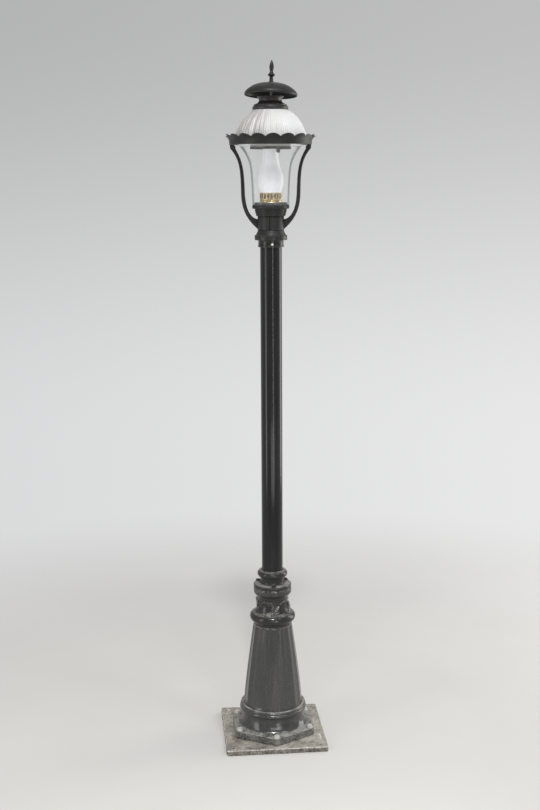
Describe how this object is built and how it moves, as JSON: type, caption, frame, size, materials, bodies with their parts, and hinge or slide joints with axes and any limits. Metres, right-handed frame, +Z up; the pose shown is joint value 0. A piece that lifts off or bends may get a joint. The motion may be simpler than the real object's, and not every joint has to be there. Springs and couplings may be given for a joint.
{
  "type": "street lamp post",
  "caption": "Gas-style globe lantern on a round post: scalloped crown, ribbed dome, vent hat and finial, two curved arms, and a fluted pedestal on a hexagonal foot and square plate.",
  "frame": {"origin": "centre of the base plate's underside, on the surface that the post stands on", "axes": "+Z up along the post; X and Y along the plate's edges; the front with the set screw faces -Y"},
  "size_m": [0.368, 0.368, 2.4382],
  "materials": {
    "plate_steel": "weathered, dusty grey-brown",
    "foot_iron": "black satin paint under grey dust",
    "cast_black": "black satin paint",
    "post_black": "black satin paint, faint long streaks",
    "neck_black": "worn black paint with a rust tint",
    "dull_bolt": "black oxide",
    "dusty_bolt": "dusty zinc",
    "bright_screw": "bright",
    "inner_steel": "zinc plated",
    "clear_glass": "clear, polished",
    "frosted_glass": "frosted white",
    "dome_glass": "ribbed milky glass",
    "bulb_glass": "opal",
    "gallery_brass": "aged satin brass",
    "stem_brass": "plain brass",
    "reflector_enamel": "white enamel",
    "vent_dark": "scorched dark steel",
    "deck_dark": "dark grey paint",
    "gasket_rubber": "black",
    "holder_ceramic": "glazed ceramic look",
    "block_plastic": "off-white",
    "lead_sheath": "black sheath"
  },
  "bodies": {
    "post": {"base_plate": "plate_steel", "crating_studs": "dusty_bolt", "stud_nuts": "dusty_bolt", "foot_casting": "foot_iron", "foot_bolts": "dusty_bolt", "pedestal": "foot_iron", "pedestal_bolts": "inner_steel", "capital": "cast_black", "capital_bolts": "inner_steel", "post_collar": "cast_black", "collar_bolts": "dull_bolt", "post_shaft": "post_black", "terminal_bracket": "inner_steel", "terminal_block": "block_plastic", "riser_lead": "lead_sheath", "post_fitter": "cast_black", "set_screws": "bright_screw", "yoke_left": "cast_black", "yoke_right": "cast_black", "yoke_screws": "inner_steel", "globe_seat": "cast_black", "lamp_stem": "stem_brass", "stem_nut": "stem_brass", "globe_gasket": "gasket_rubber", "globe": "clear_glass", "burner_deck": "deck_dark", "gallery": "gallery_brass", "chimney": "frosted_glass", "lamp_holder": "holder_ceramic", "bulb_cap": "stem_brass", "bulb": "bulb_glass"},
    "lantern_top": {"crown": "cast_black", "hinge_pin": "dull_bolt", "dome": "dome_glass", "dome_clips": "inner_steel", "reflector": "reflector_enamel", "reflector_screws": "inner_steel", "vent_collar": "vent_dark", "collar_clip": "vent_dark", "neck_gasket": "gasket_rubber", "neck": "neck_black", "spreader_bar": "inner_steel", "tie_rod": "inner_steel", "rod_nuts": "inner_steel", "hat": "cast_black", "finial": "cast_black"},
    "latch_screw": {"latch_screw": "dull_bolt"}
  },
  "joints": [
    {"name": "top_hinge", "type": "hinge", "parent": "post", "child": "lantern_top", "pos_m": [-0.12802, 0.02257, 2.1467], "axis": [-0.1736, -0.9848, 0], "range_deg": [0, 95]},
    {"name": "latch_turn", "type": "hinge", "parent": "lantern_top", "child": "latch_screw", "pos_m": [0.12802, -0.02257, 2.1467], "axis": [0.1736, 0.9848, 0], "continuous": true}
  ]
}
